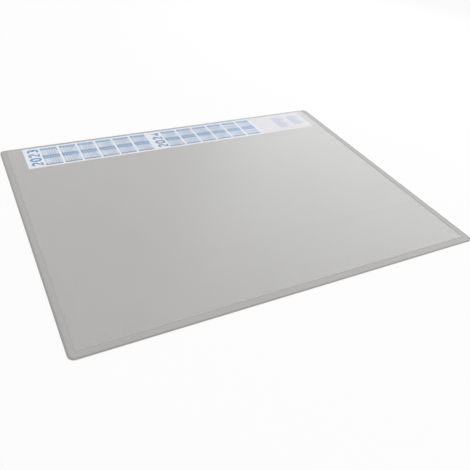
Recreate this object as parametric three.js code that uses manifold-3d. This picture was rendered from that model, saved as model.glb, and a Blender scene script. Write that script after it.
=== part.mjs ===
// Desk pad calendar: a flat plastic mat with a raised rim on three sides, a clear cover film on the
// pad inside the rim, and a printed card with two year calendars under the film at the back.
// Units are millimetres. X runs along the long side, Y towards the calendar, Z up, and the origin
// is in the middle of the underside.

import * as THREE from 'three';
import { mergeVertices } from 'three/addons/utils/BufferGeometryUtils.js';
import Module from 'manifold-3d';

const wasm = await Module();
wasm.setup();

// Mat
const MAT_WIDTH = 650;
const MAT_DEPTH = 500;
const MAT_THICKNESS = 2;
const CORNER_RADIUS = 9;
const EDGE_ROUND = 0.5;

// Rim on the left, front and right sides, and the groove between it and the pad
const RIM_WIDTH = 9.8;
const RIM_SLOPE_WIDTH = 0.5;
const GROOVE_FLOOR_WIDTH = 0.5;
const PAD_SLOPE_WIDTH = 0.3;
const PAD_DROP = 0.3;
const GROOVE_DEPTH = 0.15;

// Cover film, with its margins inside the edges of the pad
const FILM_THICKNESS = 0.3;
const FILM_SIDE_MARGIN = 0.3;
const FILM_FRONT_MARGIN = 1.7;
const FILM_BACK_MARGIN = 1.5;
const WELD_WIDTH = 2.5;
const FRONT_RAMP_LENGTH = 12;
const BACK_RAMP_LENGTH = 1.5;

// Calendar card, with its margins inside the film and the room that it has under it
const CARD_THICKNESS = 0.2;
const CARD_DEPTH = 68.4;
const CARD_LEFT_MARGIN = 25.3;
const CARD_RIGHT_MARGIN = 15.8;
const CARD_SLIDE_CLEARANCE = 0.1;
const CARD_EDGE_CLEARANCE = 0.5;

// Print on the card
const YEAR_COUNT = 2;
const MONTH_COLUMNS = 6;
const MONTH_ROWS = 2;
const PRINT_MARGIN = 4;
const YEAR_LABEL_INSET = 6;
const YEAR_LABEL_HEIGHT = 20.5;
const YEAR_LABEL_GAP = 2.8;
const MONTH_GAP = 4;
const MONTH_HEADER_DEPTH = 7.5;
const SUNDAY_ROW_DEPTH = 4.6;
const NOTES_WIDTH = 123;
const NOTE_COLUMN_COUNT = 2;
const NOTE_COLUMN_WIDTH = 29;
const NOTE_COLUMN_GAP = 8;
const NOTE_RIGHT_INSET = 8;

// Colours
const MAT_GREY = '#b4b1ad';
const FILM_CLEAR = '#f4f6f8';
const CARD_WHITE = '#f2f5fa';
const YEAR_BLUE = '#7f9fc4';
const HEADER_BLUE = '#6fa3d6';
const MONTH_TINT = '#cfdcf0';
const SUNDAY_BLUE = '#6d7fa3';
const NOTE_TINT = '#dcdcec';

// Steps of the round stretches
const CORNER_SEGMENTS = 16;
const EDGE_SEGMENTS = 4;
const RAMP_SEGMENTS = 8;

// How far a cutting block runs past the surface that it cuts
const OVERCUT = 1;

// Heights above the underside, and how far the film rises over the card
const padTop = MAT_THICKNESS - PAD_DROP;
const grooveFloor = padTop - GROOVE_DEPTH;
const filmLift = CARD_THICKNESS + CARD_SLIDE_CLEARANCE;

const padInset = RIM_WIDTH + RIM_SLOPE_WIDTH + GROOVE_FLOOR_WIDTH + PAD_SLOPE_WIDTH;
const filmLeft = -MAT_WIDTH / 2 + padInset + FILM_SIDE_MARGIN;
const filmRight = MAT_WIDTH / 2 - padInset - FILM_SIDE_MARGIN;
const filmFront = -MAT_DEPTH / 2 + padInset + FILM_FRONT_MARGIN;
const filmBack = MAT_DEPTH / 2 - FILM_BACK_MARGIN;

const cardLeft = filmLeft + CARD_LEFT_MARGIN;
const cardRight = filmRight - CARD_RIGHT_MARGIN;
const cardWidth = cardRight - cardLeft;
const cardBack = filmBack - WELD_WIDTH - BACK_RAMP_LENGTH - CARD_EDGE_CLEARANCE;
const cardFront = cardBack - CARD_DEPTH;

// A closed geometry as a solid for cutting, and the result as a geometry again
function toSolid(geometry) {
  const bare = geometry.clone();
  bare.deleteAttribute('normal');
  bare.deleteAttribute('uv');
  const merged = mergeVertices(bare);
  return new wasm.Manifold(new wasm.Mesh({
    numProp: 3,
    vertProperties: merged.attributes.position.array,
    triVerts: new Uint32Array(merged.index.array),
  }));
}

function toGeometry(solid) {
  const mesh = solid.getMesh();
  const geometry = new THREE.BufferGeometry();
  geometry.setAttribute('position', new THREE.BufferAttribute(mesh.vertProperties, mesh.numProp));
  geometry.setIndex(new THREE.BufferAttribute(mesh.triVerts, 1));
  const flat = geometry.toNonIndexed();
  flat.computeVertexNormals();
  return flat;
}

function roundedOutline(width, depth, radius) {
  const x = width / 2 - radius;
  const y = depth / 2 - radius;
  const outline = new THREE.Shape();
  outline.absarc(x, -y, radius, -Math.PI / 2, 0);
  outline.absarc(x, y, radius, 0, Math.PI / 2);
  outline.absarc(-x, y, radius, Math.PI / 2, Math.PI);
  outline.absarc(-x, -y, radius, Math.PI, 1.5 * Math.PI);
  return outline;
}

// A plate with its upper edge rounded and its lower edge cut square
function matPlate() {
  const rounded = new THREE.ExtrudeGeometry(roundedOutline(MAT_WIDTH, MAT_DEPTH, CORNER_RADIUS), {
    depth: MAT_THICKNESS,
    curveSegments: CORNER_SEGMENTS,
    bevelThickness: EDGE_ROUND,
    bevelSize: EDGE_ROUND,
    bevelOffset: -EDGE_ROUND,
    bevelSegments: EDGE_SEGMENTS,
  });
  rounded.translate(0, 0, -EDGE_ROUND);
  const cutDepth = 2 * EDGE_ROUND + OVERCUT;
  const below = new THREE.BoxGeometry(MAT_WIDTH + 2 * OVERCUT, MAT_DEPTH + 2 * OVERCUT, cutDepth);
  below.translate(0, 0, -cutDepth / 2);
  return toSolid(rounded).subtract(toSolid(below));
}

// A block with sloping left, front and right sides, inset from the mat's sides by one distance at
// its bottom and another at its top, that runs past the mat's back edge
function innerBlock(bottomInset, bottom, topInset, top) {
  const block = new THREE.BoxGeometry(1, 1, 1);
  const corners = block.attributes.position;
  for (let i = 0; i < corners.count; i += 1) {
    const isTop = corners.getZ(i) > 0;
    const inset = isTop ? topInset : bottomInset;
    const x = Math.sign(corners.getX(i)) * (MAT_WIDTH / 2 - inset);
    const y = corners.getY(i) > 0 ? MAT_DEPTH / 2 + OVERCUT : inset - MAT_DEPTH / 2;
    corners.setXYZ(i, x, y, isTop ? top : bottom);
  }
  return toSolid(block);
}

// The plate is cut down to the groove's floor inside the rim, and the pad stands in that recess
function baseMatGeometry() {
  const rimSlope = RIM_SLOPE_WIDTH / (MAT_THICKNESS - grooveFloor);
  const padSlope = PAD_SLOPE_WIDTH / GROOVE_DEPTH;
  const recess = innerBlock(
    RIM_WIDTH + RIM_SLOPE_WIDTH, grooveFloor,
    RIM_WIDTH - rimSlope * OVERCUT, MAT_THICKNESS + OVERCUT,
  );
  const pad = innerBlock(
    padInset - PAD_SLOPE_WIDTH - padSlope * OVERCUT, grooveFloor - OVERCUT,
    padInset, padTop,
  );
  return toGeometry(matPlate().subtract(recess.subtract(pad)));
}

// Points of a soft ramp in the side view, from one height to another
function ramp(fromY, toY, fromZ, toZ) {
  const points = [];
  for (let i = 0; i <= RAMP_SEGMENTS; i += 1) {
    const t = i / RAMP_SEGMENTS;
    const eased = (1 - Math.cos(Math.PI * t)) / 2;
    points.push(new THREE.Vector2(fromY + (toY - fromY) * t, fromZ + (toZ - fromZ) * eased));
  }
  return points;
}

// The film lies on the pad, rises over the card and comes down to its welded back edge
function coverFilmGeometry() {
  const rampEnd = cardFront - CARD_EDGE_CLEARANCE;
  const backRampStart = cardBack + CARD_EDGE_CLEARANCE;
  const underside = [
    new THREE.Vector2(filmFront, padTop),
    ...ramp(rampEnd - FRONT_RAMP_LENGTH, rampEnd, padTop, padTop + filmLift),
    ...ramp(backRampStart, backRampStart + BACK_RAMP_LENGTH, padTop + filmLift, padTop),
    new THREE.Vector2(filmBack, padTop),
  ];
  const upperSide = underside
    .map((point) => new THREE.Vector2(point.x, point.y + FILM_THICKNESS))
    .reverse();
  const geometry = new THREE.ExtrudeGeometry(new THREE.Shape([...underside, ...upperSide]), {
    depth: filmRight - filmLeft,
    bevelEnabled: false,
  });

  // The section was drawn with Y across and Z up, and extruded along X
  const drawn = geometry.attributes.position;
  for (let i = 0; i < drawn.count; i += 1) {
    drawn.setXYZ(i, filmLeft + drawn.getZ(i), drawn.getX(i), drawn.getY(i));
  }
  geometry.computeVertexNormals();
  return geometry;
}

// A field of colour on the card, measured from the card's left and front edges
function field(left, right, front, back, colour) {
  return { left, right, front, back, colour: new THREE.Color(colour) };
}

function monthFields(left, width, front, depth) {
  const right = left + width;
  const back = front + depth;
  const header = back - MONTH_HEADER_DEPTH;
  const sunday = front + SUNDAY_ROW_DEPTH;
  return [
    field(left, right, header, back, HEADER_BLUE),
    field(left, right, sunday, header, MONTH_TINT),
    field(left, right, front, sunday, SUNDAY_BLUE),
  ];
}

// One panel for each year, with its label at the left of its months, then the note columns
function printFields() {
  const printBack = CARD_DEPTH - PRINT_MARGIN;
  const panelWidth = (cardWidth - NOTES_WIDTH) / YEAR_COUNT;
  const labelEnd = YEAR_LABEL_INSET + YEAR_LABEL_HEIGHT;
  const monthStart = labelEnd + YEAR_LABEL_GAP;
  const monthPitch = (panelWidth - monthStart) / MONTH_COLUMNS;
  const monthDepth = (printBack - PRINT_MARGIN) / MONTH_ROWS;
  const fields = [];
  for (let year = 0; year < YEAR_COUNT; year += 1) {
    const panel = year * panelWidth;
    fields.push(field(
      panel + YEAR_LABEL_INSET, panel + labelEnd, PRINT_MARGIN, printBack, YEAR_BLUE,
    ));
    for (let column = 0; column < MONTH_COLUMNS; column += 1) {
      const left = panel + monthStart + column * monthPitch;
      for (let row = 0; row < MONTH_ROWS; row += 1) {
        const front = PRINT_MARGIN + row * monthDepth;
        fields.push(...monthFields(left, monthPitch - MONTH_GAP, front, monthDepth));
      }
    }
  }
  for (let column = 0; column < NOTE_COLUMN_COUNT; column += 1) {
    const right = cardWidth - NOTE_RIGHT_INSET - column * (NOTE_COLUMN_WIDTH + NOTE_COLUMN_GAP);
    fields.push(field(right - NOTE_COLUMN_WIDTH, right, PRINT_MARGIN, printBack, NOTE_TINT));
  }
  return fields;
}

// The values in rising order, each once
function gridLines(values) {
  const sorted = [...values].sort((a, b) => a - b);
  return sorted.filter((value, i) => i === 0 || value - sorted[i - 1] > 0.01);
}

// The card is one thin slab whose faces are split along the edges of the printed fields
function calendarCardGeometry() {
  const fields = printFields();
  const xLines = gridLines([0, cardWidth, ...fields.flatMap((f) => [f.left, f.right])]);
  const yLines = gridLines([0, CARD_DEPTH, ...fields.flatMap((f) => [f.front, f.back])]);
  const columns = xLines.length - 1;
  const rows = yLines.length - 1;
  const slab = new THREE.BoxGeometry(columns, rows, CARD_THICKNESS, columns, rows, 1);
  slab.translate(columns / 2, rows / 2, CARD_THICKNESS / 2);
  const geometry = slab.toNonIndexed();
  const corners = geometry.attributes.position;
  for (let i = 0; i < corners.count; i += 1) {
    corners.setX(i, xLines[Math.round(corners.getX(i))]);
    corners.setY(i, yLines[Math.round(corners.getY(i))]);
  }

  const paper = new THREE.Color(CARD_WHITE);
  const colours = new Float32Array(corners.count * 3);
  for (let i = 0; i < corners.count; i += 3) {
    const triangle = [i, i + 1, i + 2];
    const x = triangle.reduce((sum, k) => sum + corners.getX(k), 0) / 3;
    const y = triangle.reduce((sum, k) => sum + corners.getY(k), 0) / 3;
    const facesUp = triangle.every((k) => corners.getZ(k) > CARD_THICKNESS / 2);
    const under = fields.find((f) => x > f.left && x < f.right && y > f.front && y < f.back);
    const colour = facesUp && under ? under.colour : paper;
    triangle.forEach((k) => colour.toArray(colours, k * 3));
  }
  geometry.setAttribute('color', new THREE.BufferAttribute(colours, 3));
  geometry.computeVertexNormals();
  return geometry;
}

const matPlastic = new THREE.MeshStandardMaterial({
  color: MAT_GREY,
  roughness: 0.55,
  metalness: 0,
});

const clearFilm = new THREE.MeshStandardMaterial({
  color: FILM_CLEAR,
  roughness: 0.25,
  metalness: 0,
  transparent: true,
  opacity: 0.15,
});

const printedCard = new THREE.MeshStandardMaterial({
  vertexColors: true,
  roughness: 0.6,
  metalness: 0,
});

const baseMat = new THREE.Mesh(baseMatGeometry(), matPlastic);
baseMat.name = 'base_mat';

const coverFilm = new THREE.Mesh(coverFilmGeometry(), clearFilm);
coverFilm.name = 'cover_film';

const calendarCard = new THREE.Mesh(calendarCardGeometry(), printedCard);
calendarCard.name = 'calendar_card';
calendarCard.position.set(cardLeft, cardFront, padTop);

const deskPadCalendar = new THREE.Group();
deskPadCalendar.add(baseMat, coverFilm, calendarCard);

export default deskPadCalendar;
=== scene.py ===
"""Desk pad calendar: a grey plastic mat with a rim, a clear cover film and a printed calendar card.

Sizes are in metres. The mat is the frame's own solid with softer inner edges. The film and the card
are made anew from the frame's boxes, and the numbers of the print lie on the card.
"""
import calendar
import datetime
import math

import bmesh
import bpy
from mathutils import Matrix, Vector


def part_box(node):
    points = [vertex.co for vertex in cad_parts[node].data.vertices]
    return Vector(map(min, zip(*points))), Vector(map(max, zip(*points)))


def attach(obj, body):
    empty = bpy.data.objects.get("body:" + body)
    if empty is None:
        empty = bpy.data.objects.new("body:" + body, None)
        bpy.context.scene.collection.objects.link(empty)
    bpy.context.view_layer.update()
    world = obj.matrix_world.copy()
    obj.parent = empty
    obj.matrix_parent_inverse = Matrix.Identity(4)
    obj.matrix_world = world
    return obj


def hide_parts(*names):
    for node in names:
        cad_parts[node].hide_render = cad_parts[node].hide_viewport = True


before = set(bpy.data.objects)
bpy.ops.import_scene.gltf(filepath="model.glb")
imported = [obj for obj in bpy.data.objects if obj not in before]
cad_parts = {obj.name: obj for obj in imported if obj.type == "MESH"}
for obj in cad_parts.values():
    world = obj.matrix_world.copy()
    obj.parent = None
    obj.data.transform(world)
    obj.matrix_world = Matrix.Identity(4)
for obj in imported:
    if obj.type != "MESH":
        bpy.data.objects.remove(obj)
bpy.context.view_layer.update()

MM = 0.001
BODY = "root"
WHITE = (1.0, 1.0, 1.0, 1.0)

mat_low, mat_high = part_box("base_mat")
film_low, film_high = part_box("cover_film")
card_low, card_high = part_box("calendar_card")

# Camera, fitted to the four outer edges of the mat in the photograph
CAMERA_PLACE = Vector((-0.3810, -0.6572, 0.4991))
CAMERA_AZIMUTH = math.radians(30.78)
CAMERA_ELEVATION = math.radians(37.42)
CAMERA_ROLL = math.radians(6.79)
CAMERA_LENS_MM = 40.86
CAMERA_SENSOR_MM = 36
CAMERA_SHIFT = (0.0178, -0.0037)
CAMERA_CLIP_START = 0.01

# Edges that bend by more than these angles stay sharp
SHARP_ANGLE = math.radians(35)
FILM_SHARP_ANGLE = math.radians(12)

# Mat: its flat faces joined, its inner edges softened
JOIN_DISTANCE = 1e-6
FLAT_ANGLE = math.radians(0.5)
SOFTENED_ANGLE = math.radians(15)
EDGE_BEVEL = 0.15 * MM
BEVEL_SEGMENTS = 3
OUTER_ZONE = 5 * MM
FLAT_NORMAL = 0.98
WALL_NORMAL = 0.1
CORNER_RADIUS = 9 * MM

# Mat's greys: the top; the side wall, lighter as painted light; the rounding between them, darker as painted
# shade; and the outermost band of all three, darker as painted shade, more so along the right side
MAT_TOP, MAT_LIT_WALL, MAT_SHADED_ROUND = range(3)
MAT_GREY = (0.458, 0.447, 0.438)
CLOUD_CONTRAST = 0.015
SPECKLE_SHADE = 0.72
SPECKLE_SHARE = 0.12
WALL_PAINTED_LIGHT = 1.5
ROUND_PAINTED_SHADE = 0.8
BAND_PAINTED_SHADE = 0.77
RIGHT_BAND_PAINTED_SHADE = 0.67
BAND_WIDTH = 2.6 * MM
BAND_BLUR = 0.2
FRONT_BAND_SHARE = 0.87
MAT_ROUGHNESS = (0.44, 0.6)
MAT_SPECULAR = 0.35
ROUND_SPECULAR = 0.1

# Film, which floats a little over what it lies on, so that the two surfaces stay apart
FILM_FLOAT = 0.03 * MM
FILM_THICKNESS = 0.27 * MM
FILM_EDGE_WIDTH = 0.3 * MM
FILM_EDGE_THINNING = 0.45
FILM_RAMP = 12 * MM
FILM_BACK_RAMP = 1.5 * MM
FILM_EDGE_CLEARANCE = 0.5 * MM
RAMP_STEPS = 24

# Film's looks
FILM_SHEET, FILM_CUT = range(2)
FILM_TINT = (0.985, 0.985, 0.985, 1.0)
HAZE_GREY = (0.9, 0.9, 0.9, 1.0)
HAZE_SHARE = (0.085, 0.10)
FILM_ROUGHNESS = (0.30, 0.38)
FILM_IOR = 1.5
FILM_GRAIN_RELIEF = 0.01
MOST_GLOSS = 0.16
# The cut edge: an opaque pale grey, painted light that stands in for the light that the clear edge gathers
CUT_DARK = (0.62, 0.62, 0.62, 1.0)
CUT_PALE = (0.78, 0.78, 0.78, 1.0)
CUT_ROUGHNESS = (0.25, 0.4)

# Print on the card
YEARS = (2023, 2024)
MONTHS_IN_YEAR = 12
MONTH_COLUMNS = 6
MONTH_ROWS = 2
PRINT_MARGIN = 4 * MM
YEAR_LABEL_INSET = 6 * MM
YEAR_LABEL_HEIGHT = 20.5 * MM
YEAR_LABEL_GAP = 2.8 * MM
YEAR_LABEL_START = 1.4 * MM
MONTH_GAP = 4 * MM
MONTH_HEADER_DEPTH = 7.5 * MM
SUNDAY_ROW_DEPTH = 4.6 * MM
NOTES_WIDTH = 123 * MM
LEAST_CELL = 0.01 * MM
INK_FLOAT = 0.03 * MM

# Inside a month: one column for the weekdays and six for the weeks, Monday to Saturday over Sunday
DAYS_IN_WEEK = 7
WEEKDAY_ROWS = 6
GRID_COLUMNS = 7
FIRST_WEEK_COLUMN = 2
STRIPE_WIDTH = 3.0 * MM
BAR_INSET = 0.8 * MM
WEEKDAY_BAR_LIFT = 0.75 * MM
WEEKDAY_BAR_SIZE = (2.6 * MM, 1.5 * MM)
SUNDAY_BAR_LIFT = 1.1 * MM
SUNDAY_BAR_SIZE = (1.9 * MM, 2.2 * MM)
MONTH_NUMBER_INSET = 0.9 * MM
DIGIT_INSET = 0.15 * MM

# Note bars: for each column how many, and the stride through their uneven lengths
NOTE_COLUMNS = ((22, 7), (19, 5))
NOTE_COLUMN_WIDTH = 29 * MM
NOTE_COLUMN_GAP = 8 * MM
NOTE_RIGHT_INSET = 8 * MM
NOTE_BACK_INSET = 2.6 * PRINT_MARGIN
NOTE_BAR_PITCH = 2.1 * MM
NOTE_BAR_DEPTH = 1.15 * MM
SHORTEST_NOTE_BAR = 0.62
NOTE_BAR_CYCLE = 11

# Card's looks: white at its left end, going over to these tones at its right end. The tones are painted shade
# that darkens the card towards the right, against the brighter light on that side; on the inks they also
# shift the hue to blue
RIGHT_PAINTED_SHADE = (0.835, 0.82, 0.84, 1.0)
INK_RIGHT_PAINTED_SHADE = (0.57, 0.64, 0.77, 1.0)
CARD_ROUGHNESS = (0.5, 0.62)
FIBRE_SHARE = 0.5
PAPER_MOTTLE, TINT_MOTTLE, INK_MOTTLE = 0.01, 0.04, 0.08
NOTES_MOTTLE, NOTE_BAR_MOTTLE = 0.02, 0.05

# Stage
GROUND_HALF_SIZE = 6.0
GROUND_GAP = 0.1 * MM
GROUND_WHITE = (0.9, 0.9, 0.9, 1.0)
GLOW_SHARE = 0.85
LIGHT_LEVEL = 0.83


def link(name, data):
    """A new object in the scene that shows a mesh, a lamp or a camera."""
    item = bpy.data.objects.new(name, data)
    bpy.context.scene.collection.objects.link(item)
    return item


def finish_mesh(name, bm, materials, sharp_angle=SHARP_ANGLE):
    mesh = bpy.data.meshes.new(name)
    bm.to_mesh(mesh)
    bm.free()
    mesh.polygons.foreach_set("use_smooth", [True] * len(mesh.polygons))
    mesh.set_sharp_from_angle(angle=sharp_angle)
    for material in materials:
        mesh.materials.append(material)
    return link(name, mesh)


# Parts of materials


def new_material(name):
    material = bpy.data.materials.new(name)
    material.use_nodes = True
    tree = material.node_tree
    tree.nodes.clear()
    output = tree.nodes.new("ShaderNodeOutputMaterial")
    place = tree.nodes.new("ShaderNodeTexCoord")
    return material, tree, output, place.outputs["Object"]


def plug(tree, socket, value):
    """Links a socket to another one, or sets it to a plain value."""
    if isinstance(value, bpy.types.NodeSocket):
        tree.links.new(value, socket)
    else:
        socket.default_value = value


def noise(tree, vector, scale, detail, stretch=(1, 1, 1)):
    mapping = tree.nodes.new("ShaderNodeMapping")
    mapping.inputs["Scale"].default_value = stretch
    texture = tree.nodes.new("ShaderNodeTexNoise")
    texture.inputs["Scale"].default_value = scale
    texture.inputs["Detail"].default_value = detail
    tree.links.new(vector, mapping.inputs["Vector"])
    tree.links.new(mapping.outputs["Vector"], texture.inputs["Vector"])
    return texture.outputs["Fac"]


def to_range(tree, value, low, high, from_low=0.3, from_high=0.7):
    """Maps a value to low and high. Unless told otherwise, it spans the usual range of noise."""
    node = tree.nodes.new("ShaderNodeMapRange")
    node.inputs["From Min"].default_value = from_low
    node.inputs["From Max"].default_value = from_high
    node.inputs["To Min"].default_value = low
    node.inputs["To Max"].default_value = high
    tree.links.new(value, node.inputs["Value"])
    return node.outputs["Result"]


def arithmetic(tree, operation, first, second):
    node = tree.nodes.new("ShaderNodeMath")
    node.operation = operation
    plug(tree, node.inputs[0], first)
    plug(tree, node.inputs[1], second)
    return node.outputs[0]


def vector_arithmetic(tree, operation, first, second=(0, 0, 0)):
    """A vector, or a plain value where the operation is LENGTH."""
    node = tree.nodes.new("ShaderNodeVectorMath")
    node.operation = operation
    plug(tree, node.inputs[0], first)
    plug(tree, node.inputs[1], second)
    return node.outputs["Value" if operation == "LENGTH" else "Vector"]


def mix_colour(tree, factor, first, second):
    node = tree.nodes.new("ShaderNodeMix")
    node.data_type = "RGBA"
    factor_socket, first_colour, second_colour = node.inputs[0], node.inputs[6], node.inputs[7]
    plug(tree, factor_socket, factor)
    plug(tree, first_colour, first)
    plug(tree, second_colour, second)
    mixed_colour = node.outputs[2]
    return mixed_colour


def mix_shaders(tree, factor, first, second):
    node = tree.nodes.new("ShaderNodeMixShader")
    plug(tree, node.inputs["Fac"], factor)
    tree.links.new(first, node.inputs[1])
    tree.links.new(second, node.inputs[2])
    return node.outputs[0]


def bump(tree, height, distance, strength):
    node = tree.nodes.new("ShaderNodeBump")
    node.inputs["Distance"].default_value = distance
    node.inputs["Strength"].default_value = strength
    tree.links.new(height, node.inputs["Height"])
    return node.outputs["Normal"]


def shade(colour, factor):
    return (colour[0] * factor, colour[1] * factor, colour[2] * factor, 1.0)


def along_x(tree, place, start, end):
    """0 up to start and 1 from end on, along X."""
    parts = tree.nodes.new("ShaderNodeSeparateXYZ")
    tree.links.new(place, parts.inputs[0])
    return to_range(tree, parts.outputs["X"], 0.0, 1.0, start, end)


def outer_band(tree, place):
    """1 along the outermost band of the mat, with its round corners, and 0 inside it; the band is where shade
    is painted.

    The band is narrower along the front and the back than along the sides.
    """
    straight = (mat_high.x - CORNER_RADIUS, mat_high.y - CORNER_RADIUS, 1.0)
    quarter = vector_arithmetic(tree, "ABSOLUTE", place)
    past_centre = vector_arithmetic(tree, "SUBTRACT", quarter, straight)
    outside = vector_arithmetic(tree, "MAXIMUM", past_centre, (0, 0, 0))
    narrowed = vector_arithmetic(tree, "MULTIPLY", outside, (1.0, FRONT_BAND_SHARE, 1.0))
    distance = vector_arithmetic(tree, "LENGTH", narrowed)
    start = CORNER_RADIUS - (1 + BAND_BLUR) * BAND_WIDTH
    end = CORNER_RADIUS - (1 - BAND_BLUR) * BAND_WIDTH
    return to_range(tree, distance, 0.0, 1.0, start, end)


# Materials


def mat_plastic(name, factor=1.0, specular=MAT_SPECULAR):
    """Warm grey plastic with a fine matt grain, faint clouds, and painted shade along its outermost band,
    deeper along the right side.
    """
    grey = shade(MAT_GREY, factor)
    material, tree, output, place = new_material(name)
    shader = tree.nodes.new("ShaderNodeBsdfPrincipled")
    clouds = to_range(tree, noise(tree, place, scale=7.0, detail=3.0), 0, 1)
    grain = noise(tree, place, scale=1500.0, detail=3.0)
    cloudy = mix_colour(tree, clouds, shade(grey, 1 - CLOUD_CONTRAST), shade(grey, 1 + CLOUD_CONTRAST))
    speckles = to_range(tree, grain, 0, SPECKLE_SHARE)
    speckled = mix_colour(tree, speckles, cloudy, shade(grey, SPECKLE_SHADE))
    # Painted shade: the outermost band darker, and darker still along the right side
    painted_right_shade_mask = along_x(tree, place, mat_high.x - 2 * CORNER_RADIUS, mat_high.x - CORNER_RADIUS)
    painted_band_grey = mix_colour(tree, painted_right_shade_mask, shade(grey, BAND_PAINTED_SHADE), shade(grey, RIGHT_BAND_PAINTED_SHADE))
    outline_shaded = mix_colour(tree, outer_band(tree, place), speckled, painted_band_grey)
    tree.links.new(outline_shaded, shader.inputs["Base Color"])
    tree.links.new(to_range(tree, grain, *MAT_ROUGHNESS), shader.inputs["Roughness"])
    shader.inputs["Specular IOR Level"].default_value = specular
    tree.links.new(bump(tree, grain, distance=0.05 * MM, strength=0.5), shader.inputs["Normal"])
    tree.links.new(shader.outputs["BSDF"], output.inputs["Surface"])
    return material


def clear_film():
    """Clear film: what lies under it shows, with a satin gloss and a little haze over it.

    At grazing angles the satin surface mirrors less than smooth glass, at most MOST_GLOSS.
    """
    material, tree, output, place = new_material("clear_film")
    grain = noise(tree, place, scale=900.0, detail=2.0)
    waves = noise(tree, place, scale=14.0, detail=1.0)
    fine_relief = to_range(tree, grain, 0, FILM_GRAIN_RELIEF)
    relief = arithmetic(tree, "ADD", to_range(tree, waves, 0, 1), fine_relief)
    through = tree.nodes.new("ShaderNodeBsdfTransparent")
    through.inputs["Color"].default_value = FILM_TINT
    haze = tree.nodes.new("ShaderNodeBsdfDiffuse")
    haze.inputs["Color"].default_value = HAZE_GREY
    hazy = mix_shaders(tree, to_range(tree, waves, *HAZE_SHARE), through.outputs[0], haze.outputs[0])
    gloss = tree.nodes.new("ShaderNodeBsdfGlossy")
    gloss.inputs["Color"].default_value = WHITE
    tree.links.new(to_range(tree, grain, *FILM_ROUGHNESS), gloss.inputs["Roughness"])
    tree.links.new(bump(tree, relief, distance=0.25 * MM, strength=0.6), gloss.inputs["Normal"])
    fresnel = tree.nodes.new("ShaderNodeFresnel")
    fresnel.inputs["IOR"].default_value = FILM_IOR
    geometry = tree.nodes.new("ShaderNodeNewGeometry")
    outer_side = arithmetic(tree, "SUBTRACT", 1.0, geometry.outputs["Backfacing"])
    share = arithmetic(tree, "MULTIPLY", fresnel.outputs[0], outer_side)
    capped = arithmetic(tree, "MINIMUM", share, MOST_GLOSS)
    tree.links.new(mix_shaders(tree, capped, hazy, gloss.outputs[0]), output.inputs["Surface"])
    return material


def film_edge():
    """The cut edge of the film: its pale grey is painted light, standing in for the light that the clear edge
    gathers.
    """
    material, tree, output, place = new_material("film_edge")
    shader = tree.nodes.new("ShaderNodeBsdfPrincipled")
    streaks = noise(tree, place, scale=400.0, detail=2.0)
    pale = mix_colour(tree, to_range(tree, streaks, 0, 1), CUT_DARK, CUT_PALE)
    tree.links.new(pale, shader.inputs["Base Color"])
    tree.links.new(to_range(tree, streaks, *CUT_ROUGHNESS), shader.inputs["Roughness"])
    tree.links.new(shader.outputs["BSDF"], output.inputs["Surface"])
    return material


def printed(name, colour, mottle=TINT_MOTTLE, right_painted_shade=INK_RIGHT_PAINTED_SHADE):
    """Card or ink: a colour with the slight mottle of print on smooth board, and painted shade that darkens
    it towards the card's right end.
    """
    material, tree, output, place = new_material(name)
    shader = tree.nodes.new("ShaderNodeBsdfPrincipled")
    fibres = noise(tree, place, scale=700.0, detail=4.0, stretch=(1.0, 2.2, 1.0))
    patches = to_range(tree, noise(tree, place, scale=60.0, detail=2.0), 0, 1)
    patchy = mix_colour(tree, patches, shade(colour, 1 - mottle), shade(colour, 1.0))
    fibre_share = to_range(tree, fibres, 0, FIBRE_SHARE)
    fine = mix_colour(tree, fibre_share, patchy, shade(colour, 1 - mottle))
    # Painted shade: darker towards the card's right end
    painted_shade_colour = mix_colour(tree, along_x(tree, place, card_low.x, card_high.x), WHITE, right_painted_shade)
    tree.links.new(vector_arithmetic(tree, "MULTIPLY", fine, painted_shade_colour), shader.inputs["Base Color"])
    tree.links.new(to_range(tree, fibres, *CARD_ROUGHNESS), shader.inputs["Roughness"])
    tree.links.new(bump(tree, fibres, distance=0.01 * MM, strength=0.3), shader.inputs["Normal"])
    tree.links.new(shader.outputs["BSDF"], output.inputs["Surface"])
    return material


# Mat


def deep_inside(vertex):
    """Whether a vertex lies away from the mat's left, right and front edges."""
    side = min(vertex.co.x - mat_low.x, mat_high.x - vertex.co.x, vertex.co.y - mat_low.y)
    return side > OUTER_ZONE


def shade_outline(bm):
    """Gives the mat's side wall a lighter copy of its material, which is painted light, and the rounding over
    it a darker copy, which is painted shade.
    """
    for face in bm.faces:
        at_edge = not any(deep_inside(vertex) for vertex in face.verts)
        if at_edge and abs(face.normal.z) < FLAT_NORMAL:
            face.material_index = MAT_SHADED_ROUND if face.normal.z > WALL_NORMAL else MAT_LIT_WALL


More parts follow.
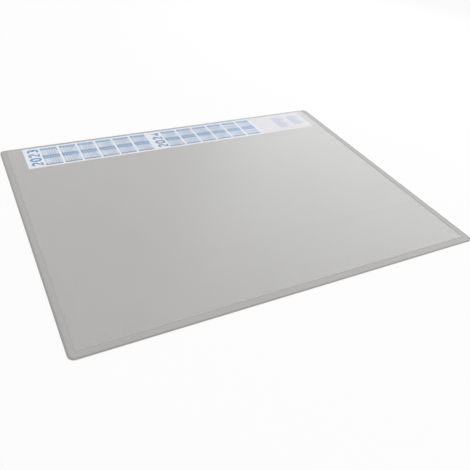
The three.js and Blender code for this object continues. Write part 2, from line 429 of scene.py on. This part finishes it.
def softened_mat():
    bm = bmesh.new()
    bm.from_mesh(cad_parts["base_mat"].data)
    bmesh.ops.remove_doubles(bm, verts=bm.verts, dist=JOIN_DISTANCE)
    bmesh.ops.dissolve_limit(bm, angle_limit=FLAT_ANGLE, verts=bm.verts, edges=bm.edges)
    inner_edges = [
        edge
        for edge in bm.edges
        if len(edge.link_faces) == 2
        and edge.calc_face_angle(0) > SOFTENED_ANGLE
        and all(deep_inside(vertex) for vertex in edge.verts)
        and min(vertex.co.z for vertex in edge.verts) > mat_low.z + EDGE_BEVEL
    ]
    bmesh.ops.bevel(
        bm, geom=inner_edges, offset=EDGE_BEVEL, offset_type="OFFSET", segments=BEVEL_SEGMENTS,
        profile=0.5, affect="EDGES", clamp_overlap=True,
    )
    bm.normal_update()
    shade_outline(bm)
    # The wall's material is a lighter copy, painted light; the rounding's is a darker copy, painted shade
    piece = finish_mesh("mat", bm, [
        mat_plastic("mat_plastic"),
        mat_plastic("mat_wall_painted_light", WALL_PAINTED_LIGHT),
        mat_plastic("mat_round_painted_shade", ROUND_PAINTED_SHADE, ROUND_SPECULAR),
    ])
    even_normals = piece.modifiers.new("even_normals", "WEIGHTED_NORMAL")
    even_normals.keep_sharp = True
    return piece


# Film: a closed sheet that lies on the pad, rises over the card and comes down at the back


def ramp(start_y, end_y, start_z, end_z):
    points = []
    for i in range(RAMP_STEPS + 1):
        t = i / RAMP_STEPS
        eased = (1 - math.cos(math.pi * t)) / 2
        points.append((start_y + (end_y - start_y) * t, start_z + (end_z - start_z) * eased))
    return points


def film_line():
    """The underside of the film from front to back, as (y, z)."""
    low = film_low.z + FILM_FLOAT
    high = low + film_high.z - film_low.z - (FILM_FLOAT + FILM_THICKNESS)
    ramp_end = card_low.y - FILM_EDGE_CLEARANCE
    back_ramp = card_high.y + FILM_EDGE_CLEARANCE
    return [
        (film_low.y, low),
        (film_low.y + FILM_EDGE_WIDTH, low),
        *ramp(ramp_end - FILM_RAMP, ramp_end, low, high),
        *ramp(back_ramp, back_ramp + FILM_BACK_RAMP, high, low),
        (film_high.y - FILM_EDGE_WIDTH, low),
        (film_high.y, low),
    ]


def film_layers(bm, line, columns):
    """The rows of vertices of the film's underside and of its top, which is lower at the cut edges."""
    outer_rows, outer_columns = (0, len(line) - 1), (0, len(columns) - 1)
    layers = []
    for thickness, edge_thickness in ((0.0, 0.0), (FILM_THICKNESS, FILM_THICKNESS * FILM_EDGE_THINNING)):
        rows = []
        for i, (y, z) in enumerate(line):
            row = []
            for k, x in enumerate(columns):
                at_edge = i in outer_rows or k in outer_columns
                row.append(bm.verts.new((x, y, z + (edge_thickness if at_edge else thickness))))
            rows.append(row)
        layers.append(rows)
    return layers


def film_sheet():
    line = film_line()
    columns = [film_low.x, film_low.x + FILM_EDGE_WIDTH, film_high.x - FILM_EDGE_WIDTH, film_high.x]
    last_row, last_column = len(line) - 1, len(columns) - 1
    bm = bmesh.new()
    under, over = film_layers(bm, line, columns)
    for i in range(last_row):
        for k in range(last_column):
            face = bm.faces.new([over[i][k], over[i][k + 1], over[i + 1][k + 1], over[i + 1][k]])
            at_edge = i in (0, last_row - 1) or k in (0, last_column - 1)
            face.material_index = FILM_CUT if at_edge else FILM_SHEET
            bm.faces.new([under[i][k], under[i + 1][k], under[i + 1][k + 1], under[i][k + 1]])
    edge_loop = (
        [(0, k) for k in range(last_column)]
        + [(i, last_column) for i in range(last_row)]
        + [(last_row, k) for k in range(last_column, 0, -1)]
        + [(i, 0) for i in range(last_row, 0, -1)]
    )
    for (i, k), (j, m) in zip(edge_loop, edge_loop[1:] + edge_loop[:1]):
        wall = bm.faces.new([under[i][k], under[j][m], over[j][m], over[i][k]])
        wall.material_index = FILM_CUT
    return finish_mesh("film", bm, [clear_film(), film_edge()], FILM_SHARP_ANGLE)


# Layout of the print, measured from the card's left and front edges

card_width = card_high.x - card_low.x
card_depth = card_high.y - card_low.y
print_depth = card_depth - 2 * PRINT_MARGIN
panel_width = (card_width - NOTES_WIDTH) / len(YEARS)
month_start = YEAR_LABEL_INSET + YEAR_LABEL_HEIGHT + YEAR_LABEL_GAP
month_pitch = (panel_width - month_start) / MONTH_COLUMNS
month_width = month_pitch - MONTH_GAP
month_depth = print_depth / MONTH_ROWS
column_pitch = month_width / GRID_COLUMNS
ink_z = card_high.z + INK_FLOAT
stripe_z = card_high.z + INK_FLOAT / 2


def card_point(x, y):
    return (card_low.x + x, card_low.y + y)


class Month:
    """One month of a year: its edges, and the lines between its header, its days and its Sundays."""

    def __init__(self, year, number, left, front):
        self.year, self.number = year, number
        self.left, self.right = left, left + month_width
        self.front, self.back = front, front + month_depth
        self.header = self.back - MONTH_HEADER_DEPTH
        self.sunday = front + SUNDAY_ROW_DEPTH
        self.row_pitch = (self.header - self.sunday) / WEEKDAY_ROWS

    def row_line(self, row):
        """The line under a weekday's row, counted from Monday."""
        return self.header - (row + 1) * self.row_pitch


def all_months():
    months = []
    for panel, year in enumerate(YEARS):
        for index in range(MONTHS_IN_YEAR):
            row, column = divmod(index, MONTH_COLUMNS)
            left = panel * panel_width + month_start + column * month_pitch
            front = PRINT_MARGIN + (MONTH_ROWS - 1 - row) * month_depth
            months.append(Month(year, index + 1, left, front))
    return months


# Card: one slab, its top split along the fields of the print

PAPER, HEADER, MONTH, SUNDAY, NOTES = range(5)


class Field:
    def __init__(self, left, right, front, back, ink):
        self.left, self.right, self.front, self.back, self.ink = left, right, front, back, ink

    def holds(self, x, y):
        return self.left < x < self.right and self.front < y < self.back


def print_fields():
    """The tinted fields of each month, and the pale notes area at the right."""
    fields = [Field(card_width - NOTES_WIDTH, card_width, 0, card_depth, NOTES)]
    for month in all_months():
        fields.append(Field(month.left, month.right, month.header, month.back, HEADER))
        fields.append(Field(month.left, month.right, month.sunday, month.header, MONTH))
        fields.append(Field(month.left, month.right, month.front, month.sunday, SUNDAY))
    return fields


def lines_of(values):
    """The values in rising order, without those that fall together."""
    kept = []
    for value in sorted(values):
        if not kept or value - kept[-1] > LEAST_CELL:
            kept.append(value)
    return kept


def card_materials():
    """In the order of PAPER, HEADER, MONTH, SUNDAY and NOTES."""
    return [
        printed("card_paper", (0.925, 0.965, 1.0), PAPER_MOTTLE, RIGHT_PAINTED_SHADE),
        printed("header_blue", (0.18, 0.45, 0.75)),
        printed("month_tint", (0.90, 0.93, 0.97)),
        printed("sunday_tint", (0.20, 0.34, 0.57)),
        printed("notes_tint", (0.78, 0.765, 0.81), NOTES_MOTTLE, RIGHT_PAINTED_SHADE),
    ]


def card_slab():
    fields = print_fields()
    xs = lines_of([0, card_width] + [x for field in fields for x in (field.left, field.right)])
    ys = lines_of([0, card_depth] + [y for field in fields for y in (field.front, field.back)])
    bm = bmesh.new()
    grid = [[bm.verts.new((*card_point(x, y), card_high.z)) for x in xs] for y in ys]
    for i in range(len(ys) - 1):
        for k in range(len(xs) - 1):
            face = bm.faces.new([grid[i][k], grid[i][k + 1], grid[i + 1][k + 1], grid[i + 1][k]])
            middle = ((xs[k] + xs[k + 1]) / 2, (ys[i] + ys[i + 1]) / 2)
            inks = [field.ink for field in fields if field.holds(*middle)]
            face.material_index = inks[0] if inks else PAPER
    rim = (
        grid[0]
        + [row[-1] for row in grid[1:]]
        + grid[-1][-2::-1]
        + [row[0] for row in grid[-2:0:-1]]
    )
    lower = [bm.verts.new((v.co.x, v.co.y, card_low.z + FILM_FLOAT)) for v in rim]
    for i, vertex in enumerate(rim):
        j = (i + 1) % len(rim)
        bm.faces.new([lower[i], lower[j], rim[j], vertex])
    bm.faces.new(lower[::-1])
    return finish_mesh("card", bm, card_materials())


# Numerals: strokes along centre lines in a cell of width DIGIT_ASPECT and height 1

DIGIT_ASPECT = 0.52
DIGIT_SPACING = 1.35
WIDE_SPACING = 2.0
MITRE_LIMIT = 0.35
TO_RIGHT, TO_LEFT, TO_BACK = (1, 0), (-1, 0), (0, 1)


def arc(centre, radii, start, end, steps):
    """Points on an ellipse from angle start to angle end, in degrees."""
    points = []
    for i in range(steps + 1):
        angle = math.radians(start + (end - start) * i / steps)
        points.append((centre[0] + radii[0] * math.cos(angle), centre[1] + radii[1] * math.sin(angle)))
    return points


def digit_lines(digit, steps):
    """Centre lines of a numeral, each a list of points and whether it closes on itself."""
    w = DIGIT_ASPECT
    half = w / 2
    top_bowl = (half, 0.745)
    low_bowl = (half, 0.27)
    top_radii, low_radii = (half * 0.94, 0.255), (half, 0.27)
    if digit == 0:
        loop = arc((half, 1 - half), (half, half), 0, 180, steps)
        return [(loop + arc((half, half), (half, half), 180, 360, steps), True)]
    if digit == 1:
        return [([(0.12 * w, 0.78), (0.6 * w, 1.0), (0.6 * w, 0.0)], False)]
    if digit == 2:
        curve = arc((half, 1 - half), (half, half), 165, -35, steps)
        return [(curve + [(0.02, 0.0), (w, 0.0)], False)]
    if digit == 3:
        upper = arc(top_bowl, top_radii, 150, -85, steps)
        lower = arc(low_bowl, low_radii, 85, -150, steps)
        return [(upper, False), (lower, False), ([(0.38 * w, 0.515), (0.62 * w, 0.515)], False)]
    if digit == 4:
        return [([(0.78 * w, 0.0), (0.78 * w, 1.0), (0.0, 0.27), (w * 1.08, 0.27)], False)]
    if digit == 5:
        bowl = arc((half, 0.31), (half, 0.31), 128, -150, steps)
        return [([(0.93 * w, 1.0), (0.14 * w, 1.0)] + [(0.08 * w, 0.5)] + bowl[1:], False)]
    if digit in (6, 9):
        bowl = arc((half, 0.3), (half, 0.3), 0, 360, 2 * steps)[:-1]
        back = arc((half + 0.30 * w, 0.3), (half + 0.30 * w, 0.70), 180, 105, steps)
        lines = [(bowl, True), (back, False)]
        if digit == 9:
            lines = [([(w - x, 1.0 - y) for x, y in points], closed) for points, closed in lines]
        return lines
    if digit == 7:
        return [([(0.0, 1.0), (w, 1.0), (0.3 * w, 0.0)], False)]
    upper = arc(top_bowl, top_radii, 0, 360, 2 * steps)[:-1]
    lower = arc(low_bowl, low_radii, 0, 360, 2 * steps)[:-1]
    return [(upper, True), (lower, True)]


def ribbon(points, closed, half_width):
    """(left points, right points) of a stroke of even width, with mitred corners."""
    count = len(points)
    left, right = [], []
    for i, (x, y) in enumerate(points):
        before = points[i - 1] if closed or i > 0 else None
        after = points[(i + 1) % count] if closed or i < count - 1 else None
        normals = []
        for a, b in ((before, (x, y)), ((x, y), after)):
            if a is not None and b is not None:
                run = math.hypot(b[0] - a[0], b[1] - a[1]) or 1.0
                normals.append((-(b[1] - a[1]) / run, (b[0] - a[0]) / run))
        nx = sum(n[0] for n in normals) / len(normals)
        ny = sum(n[1] for n in normals) / len(normals)
        stretch = half_width / max(nx * nx + ny * ny, MITRE_LIMIT)
        left.append((x + nx * stretch, y + ny * stretch))
        right.append((x - nx * stretch, y - ny * stretch))
    return left, right


class Lettering:
    """How one kind of number is written.

    height is from the outer bottom to the outer top of a digit, stroke the width of its lines, lift
    how far it stands over its line, and pitch the way from one digit to the next.
    """

    def __init__(self, height, stroke, steps, lift=0.0, spacing=DIGIT_SPACING, pitch=None, ink=0):
        self.height, self.stroke, self.steps, self.lift, self.ink = height, stroke, steps, lift, ink
        self.pitch = pitch or (height - stroke) * DIGIT_ASPECT + stroke * spacing


def draw_number(bm, text, origin, style, along=TO_RIGHT, up=TO_BACK):
    """Writes a number from origin, with its digits one after another along and their tops towards up."""
    along, up = Vector(along), Vector(up)
    scale, half_stroke = style.height - style.stroke, style.stroke / 2
    for place, character in enumerate(text):
        start = Vector(origin) + along * (place * style.pitch + half_stroke) + up * half_stroke
        for points, closed in digit_lines(int(character), style.steps):
            scaled = [(x * scale, y * scale) for x, y in points]
            left, right = [
                [bm.verts.new((*(start + along * x + up * y), ink_z)) for x, y in side]
                for side in ribbon(scaled, closed, half_stroke)
            ]
            count = len(points)
            for i in range(count if closed else count - 1):
                j = (i + 1) % count
                face = bm.faces.new([right[i], right[j], left[j], left[i]])
                face.material_index = style.ink


def draw_right_aligned(bm, number, right, line, style):
    """Writes a number over a line, so that it ends just left of right."""
    text = str(number)
    left = right - style.pitch * len(text) - DIGIT_INSET
    draw_number(bm, text, card_point(left, line + style.lift), style)


def draw_bar(bm, left, front, size, z, ink=0):
    width, depth = size
    corners = ((left, front), (left + width, front), (left + width, front + depth), (left, front + depth))
    face = bm.faces.new([bm.verts.new((*card_point(x, y), z)) for x, y in corners])
    face.material_index = ink


def upward(bm):
    """Turns every flat face of the print to look up."""
    bm.normal_update()
    for face in bm.faces:
        if face.normal.z < 0:
            face.normal_flip()


# Numbers and bars of the print

DAY_INK, BOLD_INK, WEEKDAY_INK, COLUMN_TINT = range(4)

YEAR_NUMBER = Lettering(YEAR_LABEL_HEIGHT, 4.7 * MM, steps=18, pitch=print_depth / 4)
MONTH_NUMBER = Lettering(3.9 * MM, 0.75 * MM, steps=8, lift=2.9 * MM, spacing=WIDE_SPACING, ink=BOLD_INK)
WEEK_NUMBER = Lettering(2.2 * MM, 0.45 * MM, steps=4, lift=0.35 * MM, pitch=1.35 * MM, ink=BOLD_INK)
DAY_NUMBER = Lettering(2.3 * MM, 0.42 * MM, steps=5, lift=0.5 * MM, ink=DAY_INK)
SUNDAY_NUMBER = Lettering(2.7 * MM, 0.5 * MM, steps=5, lift=1.0 * MM, ink=BOLD_INK)


def year_numerals():
    """The two years, read from the front edge to the back, with the digits' tops to the left."""
    bm = bmesh.new()
    for panel, year in enumerate(YEARS):
        baseline = panel * panel_width + YEAR_LABEL_INSET + YEAR_LABEL_HEIGHT
        origin = card_point(baseline, PRINT_MARGIN + YEAR_LABEL_START)
        draw_number(bm, str(year), origin, YEAR_NUMBER, along=TO_BACK, up=TO_LEFT)
    upward(bm)
    return finish_mesh("year_numerals", bm, [printed("year_blue", (0.03, 0.275, 0.62), INK_MOTTLE)])


def draw_weekday_bars(bm, month):
    """One plain bar for each weekday. The lowest, for Sunday, is deeper and darker."""
    left = month.left + BAR_INSET
    for row in range(WEEKDAY_ROWS):
        draw_bar(bm, left, month.row_line(row) + WEEKDAY_BAR_LIFT, WEEKDAY_BAR_SIZE, ink_z, WEEKDAY_INK)
    draw_bar(bm, left, month.front + SUNDAY_BAR_LIFT, SUNDAY_BAR_SIZE, ink_z, BOLD_INK)


def draw_day_columns(bm, month):
    """The tinted stripe behind each week."""
    stripe_size = (STRIPE_WIDTH, month.header - month.sunday)
    for column in range(FIRST_WEEK_COLUMN, GRID_COLUMNS + 1):
        left = month.left + column * column_pitch - STRIPE_WIDTH
        draw_bar(bm, left, month.sunday, stripe_size, stripe_z, COLUMN_TINT)


def draw_days(bm, month):
    """Each day in its week's column and its weekday's row, under the week's number."""
    first_weekday, days = calendar.monthrange(month.year, month.number)
    for day in range(1, days + 1):
        column, weekday = divmod(first_weekday + day - 1, DAYS_IN_WEEK)
        right = month.left + (column + FIRST_WEEK_COLUMN) * column_pitch
        if weekday == WEEKDAY_ROWS:
            draw_right_aligned(bm, day, right, month.front, SUNDAY_NUMBER)
        else:
            draw_right_aligned(bm, day, right, month.row_line(weekday), DAY_NUMBER)
        if weekday == 0 or day == 1:
            week = datetime.date(month.year, month.number, day).isocalendar()[1]
            draw_right_aligned(bm, week, right, month.header, WEEK_NUMBER)


def month_numbers():
    """In each month: its own number, the weeks of the year, and the days by their weekdays."""
    bm = bmesh.new()
    for month in all_months():
        origin = card_point(month.left + MONTH_NUMBER_INSET, month.header + MONTH_NUMBER.lift)
        draw_number(bm, str(month.number), origin, MONTH_NUMBER)
        draw_weekday_bars(bm, month)
        draw_day_columns(bm, month)
        draw_days(bm, month)
    upward(bm)
    return finish_mesh("month_numbers", bm, [
        printed("day_ink", (0.14, 0.24, 0.42), INK_MOTTLE),
        printed("bold_ink", (0.035, 0.07, 0.16), INK_MOTTLE),
        printed("weekday_ink", (0.20, 0.34, 0.56), INK_MOTTLE),
        printed("column_tint", (0.61, 0.75, 0.90)),
    ])


def note_bars():
    """Two columns of thin bars of uneven length, in the notes area."""
    bm = bmesh.new()
    right = card_width - NOTE_RIGHT_INSET
    back = card_depth - NOTE_BACK_INSET
    for column, (count, stride) in enumerate(NOTE_COLUMNS):
        columns_after = len(NOTE_COLUMNS) - 1 - column
        left = right - NOTE_COLUMN_WIDTH - columns_after * (NOTE_COLUMN_GAP + NOTE_COLUMN_WIDTH)
        for i in range(count):
            place_in_cycle = (i * stride) % NOTE_BAR_CYCLE / (NOTE_BAR_CYCLE - 1)
            share = SHORTEST_NOTE_BAR + (1 - SHORTEST_NOTE_BAR) * place_in_cycle
            front = back - (i + 1) * NOTE_BAR_PITCH
            draw_bar(bm, left, front, (NOTE_COLUMN_WIDTH * share, NOTE_BAR_DEPTH), ink_z)
    lilac = printed("note_lilac", (0.34, 0.40, 0.70), NOTE_BAR_MOTTLE, RIGHT_PAINTED_SHADE)
    return finish_mesh("note_bars", bm, [lilac])


# The pieces, each with the node that it stands for

pieces = [
    (softened_mat(), "mat_plastic", ["base_mat"]),
    (film_sheet(), "clear_film", ["cover_film"]),
    (card_slab(), "printed_card", ["calendar_card"]),
    (year_numerals(), "printed_card", []),
    (month_numbers(), "printed_card", []),
    (note_bars(), "printed_card", []),
]
for piece, slot, nodes in pieces:
    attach(piece, BODY)
    if nodes:
        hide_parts(*nodes)


# Stage: a white ground that keeps a faint shadow, and plain soft light


def rays(tree, *kinds):
    """1 for rays of the given kinds, and 0 for all other light."""
    path = tree.nodes.new("ShaderNodeLightPath")
    total = path.outputs[kinds[0]]
    for kind in kinds[1:]:
        total = arithmetic(tree, "ADD", total, path.outputs[kind])
    return total


def white_ground():
    material, tree, output, _ = new_material("ground_white")
    diffuse = tree.nodes.new("ShaderNodeBsdfDiffuse")
    diffuse.inputs["Color"].default_value = GROUND_WHITE
    glow = tree.nodes.new("ShaderNodeEmission")
    glow.inputs["Color"].default_value = WHITE
    glow.inputs["Strength"].default_value = 1.0
    seen = rays(tree, "Is Camera Ray", "Is Glossy Ray")
    share = arithmetic(tree, "MULTIPLY", seen, GLOW_SHARE)
    surface = mix_shaders(tree, share, diffuse.outputs[0], glow.outputs[0])
    tree.links.new(surface, output.inputs["Surface"])
    bm = bmesh.new()
    bmesh.ops.create_grid(bm, x_segments=1, y_segments=1, size=GROUND_HALF_SIZE)
    ground = finish_mesh("ground", bm, [material])
    ground.location.z = mat_low.z - GROUND_GAP


def white_world(level):
    """Lights the object at the given level, and looks white where it is seen, mirrored or refracted."""
    world = bpy.data.worlds.new("studio")
    bpy.context.scene.world = world
    world.use_nodes = True
    tree = world.node_tree
    tree.nodes.clear()
    output = tree.nodes.new("ShaderNodeOutputWorld")
    background = tree.nodes.new("ShaderNodeBackground")
    background.inputs["Color"].default_value = WHITE
    seen = rays(tree, "Is Camera Ray", "Is Glossy Ray", "Is Transmission Ray")
    strength = to_range(tree, seen, level, 1.0, 0.0, 1.0)
    tree.links.new(strength, background.inputs["Strength"])
    tree.links.new(background.outputs[0], output.inputs["Surface"])


def softbox(name, place, target, width, height, radiance, colour):
    """An area lamp whose face has the given radiance and looks at target."""
    lamp = bpy.data.lights.new(name, "AREA")
    lamp.shape = "RECTANGLE"
    lamp.size, lamp.size_y = width, height
    lamp.energy = radiance * width * height * math.pi
    lamp.color = colour
    stand = link(name, lamp)
    aim = (Vector(target) - Vector(place)).to_track_quat("-Z", "Y")
    stand.matrix_world = Matrix.Translation(place) @ aim.to_matrix().to_4x4()


def camera():
    forward = Vector((
        math.sin(CAMERA_AZIMUTH) * math.cos(CAMERA_ELEVATION),
        math.cos(CAMERA_AZIMUTH) * math.cos(CAMERA_ELEVATION),
        -math.sin(CAMERA_ELEVATION),
    ))
    level_right = forward.cross(Vector((0, 0, 1))).normalized()
    level_up = level_right.cross(forward)
    right = level_right * math.cos(CAMERA_ROLL) + level_up * math.sin(CAMERA_ROLL)
    up = level_up * math.cos(CAMERA_ROLL) - level_right * math.sin(CAMERA_ROLL)
    lens = bpy.data.cameras.new("camera")
    lens.lens = CAMERA_LENS_MM
    lens.sensor_width = CAMERA_SENSOR_MM
    lens.shift_x, lens.shift_y = CAMERA_SHIFT
    lens.clip_start = CAMERA_CLIP_START
    view = link("camera", lens)
    view.matrix_world = Matrix.Translation(CAMERA_PLACE) @ Matrix((right, up, -forward)).transposed().to_4x4()
    bpy.context.scene.camera = view


white_ground()
white_world(LIGHT_LEVEL)
softbox("side_softbox", place=(1.10, 0.55, 0.75), target=(0.1, 0, 0), width=1.7, height=1.2,
        radiance=1.1, colour=(0.96, 0.985, 1.0))
camera()
bpy.context.scene.view_settings.view_transform = "Standard"
